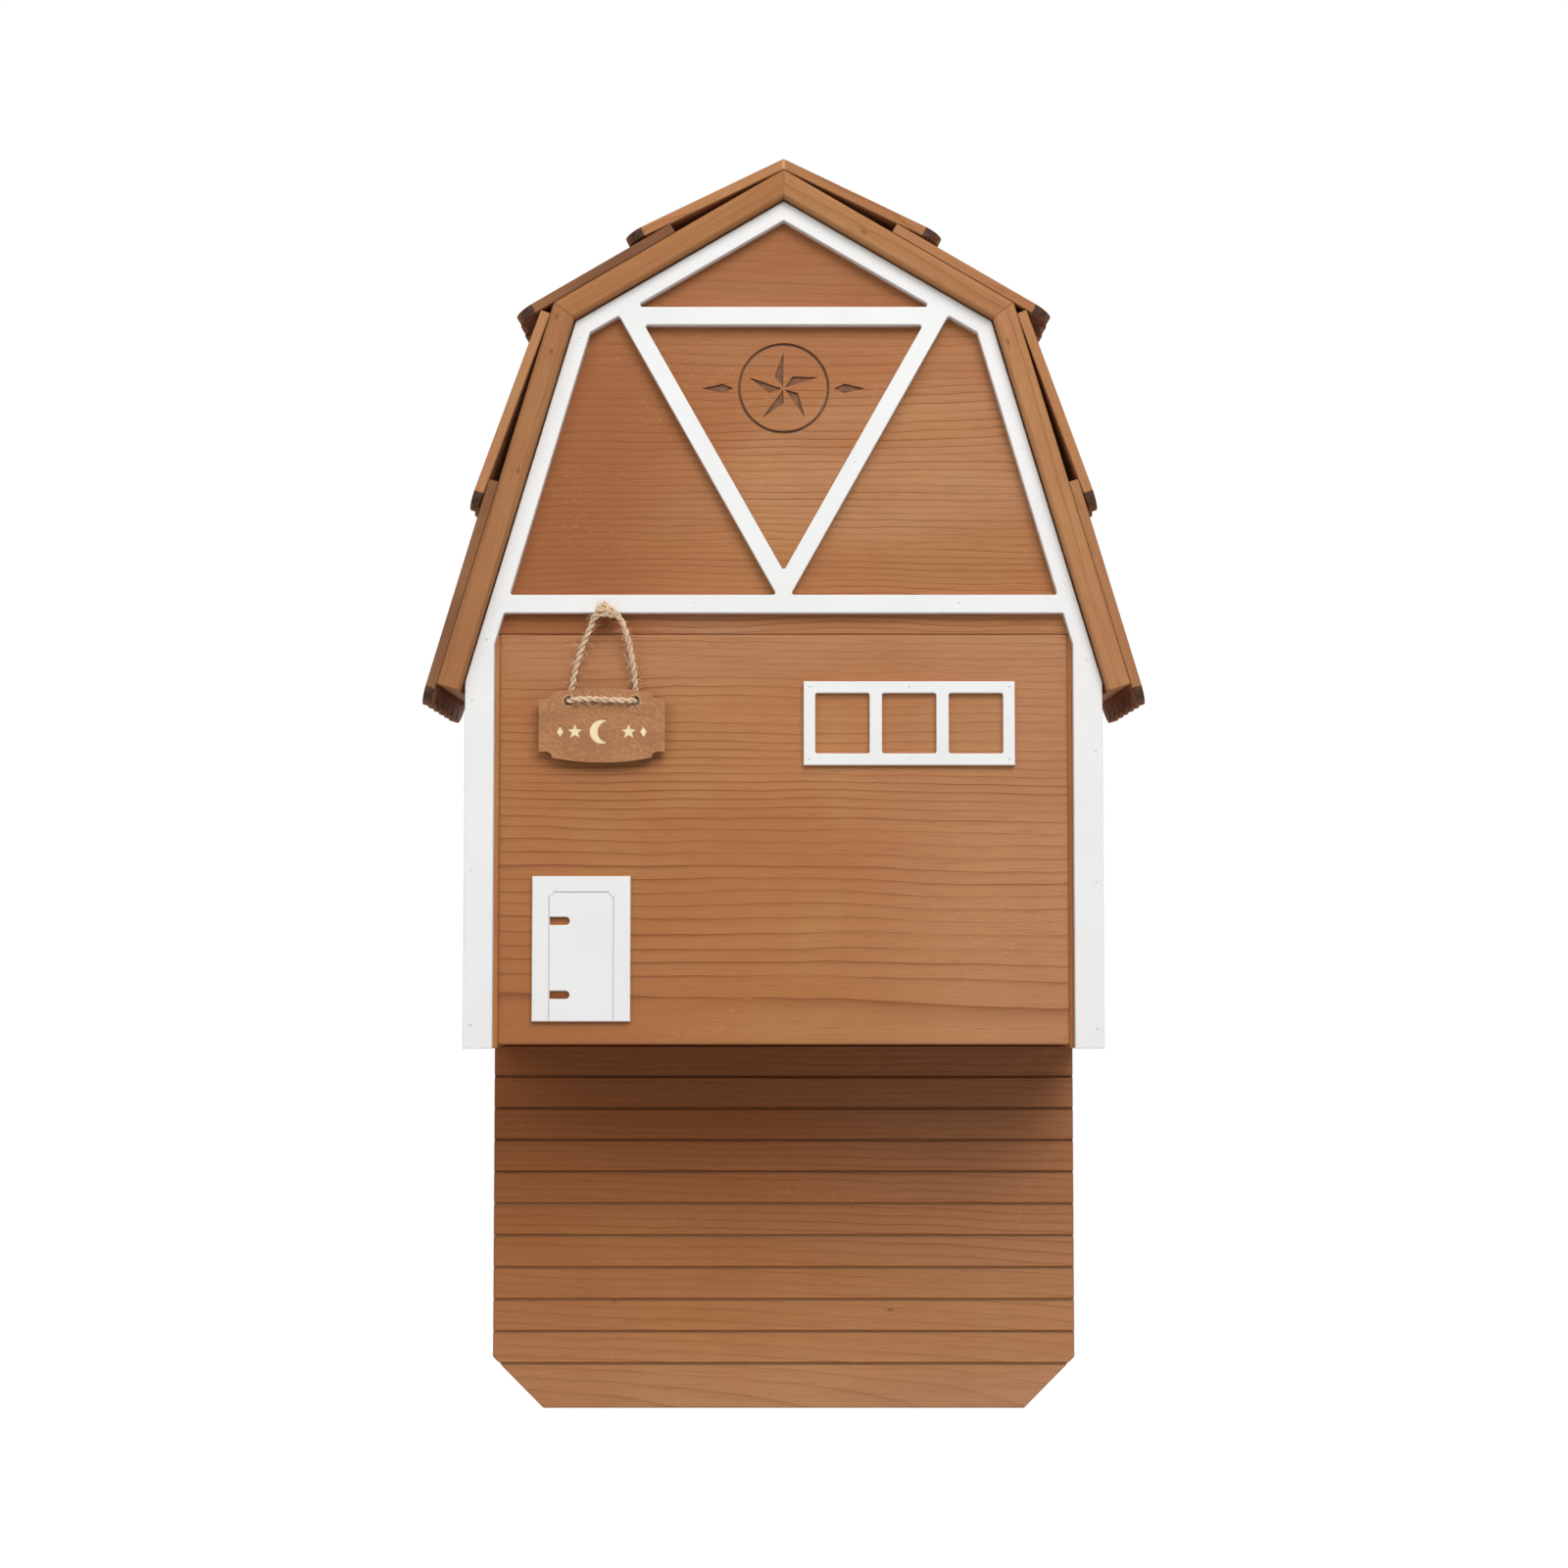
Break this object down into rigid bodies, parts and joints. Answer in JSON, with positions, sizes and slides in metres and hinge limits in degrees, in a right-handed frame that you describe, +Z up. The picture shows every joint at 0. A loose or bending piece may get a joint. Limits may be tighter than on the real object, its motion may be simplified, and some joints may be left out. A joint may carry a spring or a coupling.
{
  "type": "bat box",
  "caption": "Wall-hung bat box shaped like a gambrel barn, with scalloped shingles, white trim, a grooved landing board and a sign hung on twine.",
  "frame": {"origin": "on the wall face, midway between the entry holes of the two keyhole hangers", "axes": "+Z up, +Y into the wall, the front faces -Y, +X to the right as seen from the front"},
  "size_m": [0.3908, 0.132, 0.6927],
  "materials": {
    "wall_wood": "smooth oiled cedar",
    "roost_wood": "rough sawn cedar",
    "roof_wood": "planed oiled cedar",
    "shingle_wood": "planed cedar with dark cut edges",
    "white_paint": "satin white paint",
    "sign_wood": "stained thin board",
    "twine": "twisted natural jute",
    "steel": "zinc plated"
  },
  "bodies": {
    "box": {"back_panel_lower": "wall_wood", "back_panel_upper": "wall_wood", "side_panel_left": "wall_wood", "side_panel_right": "wall_wood", "front_panel": "wall_wood", "gable_board": "wall_wood", "roost_partition_1": "roost_wood", "roost_partition_2": "roost_wood", "roost_partition_3": "roost_wood", "roof_board_upper_left": "roof_wood", "roof_board_upper_right": "roof_wood", "roof_board_lower_left": "roof_wood", "roof_board_lower_right": "roof_wood", "shingle_ridge_left": "shingle_wood", "shingle_ridge_right": "shingle_wood", "shingle_upper_left": "shingle_wood", "shingle_upper_right": "shingle_wood", "shingle_middle_left": "shingle_wood", "shingle_middle_right": "shingle_wood", "shingle_eave_left": "shingle_wood", "shingle_eave_right": "shingle_wood", "front_trim": "white_paint", "window_frame": "white_paint", "door_plate": "white_paint", "sign_nail": "steel", "trim_brads": "steel", "window_brads": "steel", "side_screws": "steel", "back_screws": "steel", "roof_nails": "steel", "shingle_brads": "steel", "hanger_plate_left": "steel", "hanger_plate_right": "steel", "hanger_screws": "steel"},
    "sign": {"sign_board": "sign_wood", "sign_twine": "twine", "twine_knot": "twine"}
  },
  "joints": [
    {"name": "sign_swing", "type": "hinge", "parent": "box", "child": "sign", "pos_m": [-0.098, -0.1288, -0.1032], "axis": [0, 1, 0], "range_deg": [-32, 20]}
  ]
}
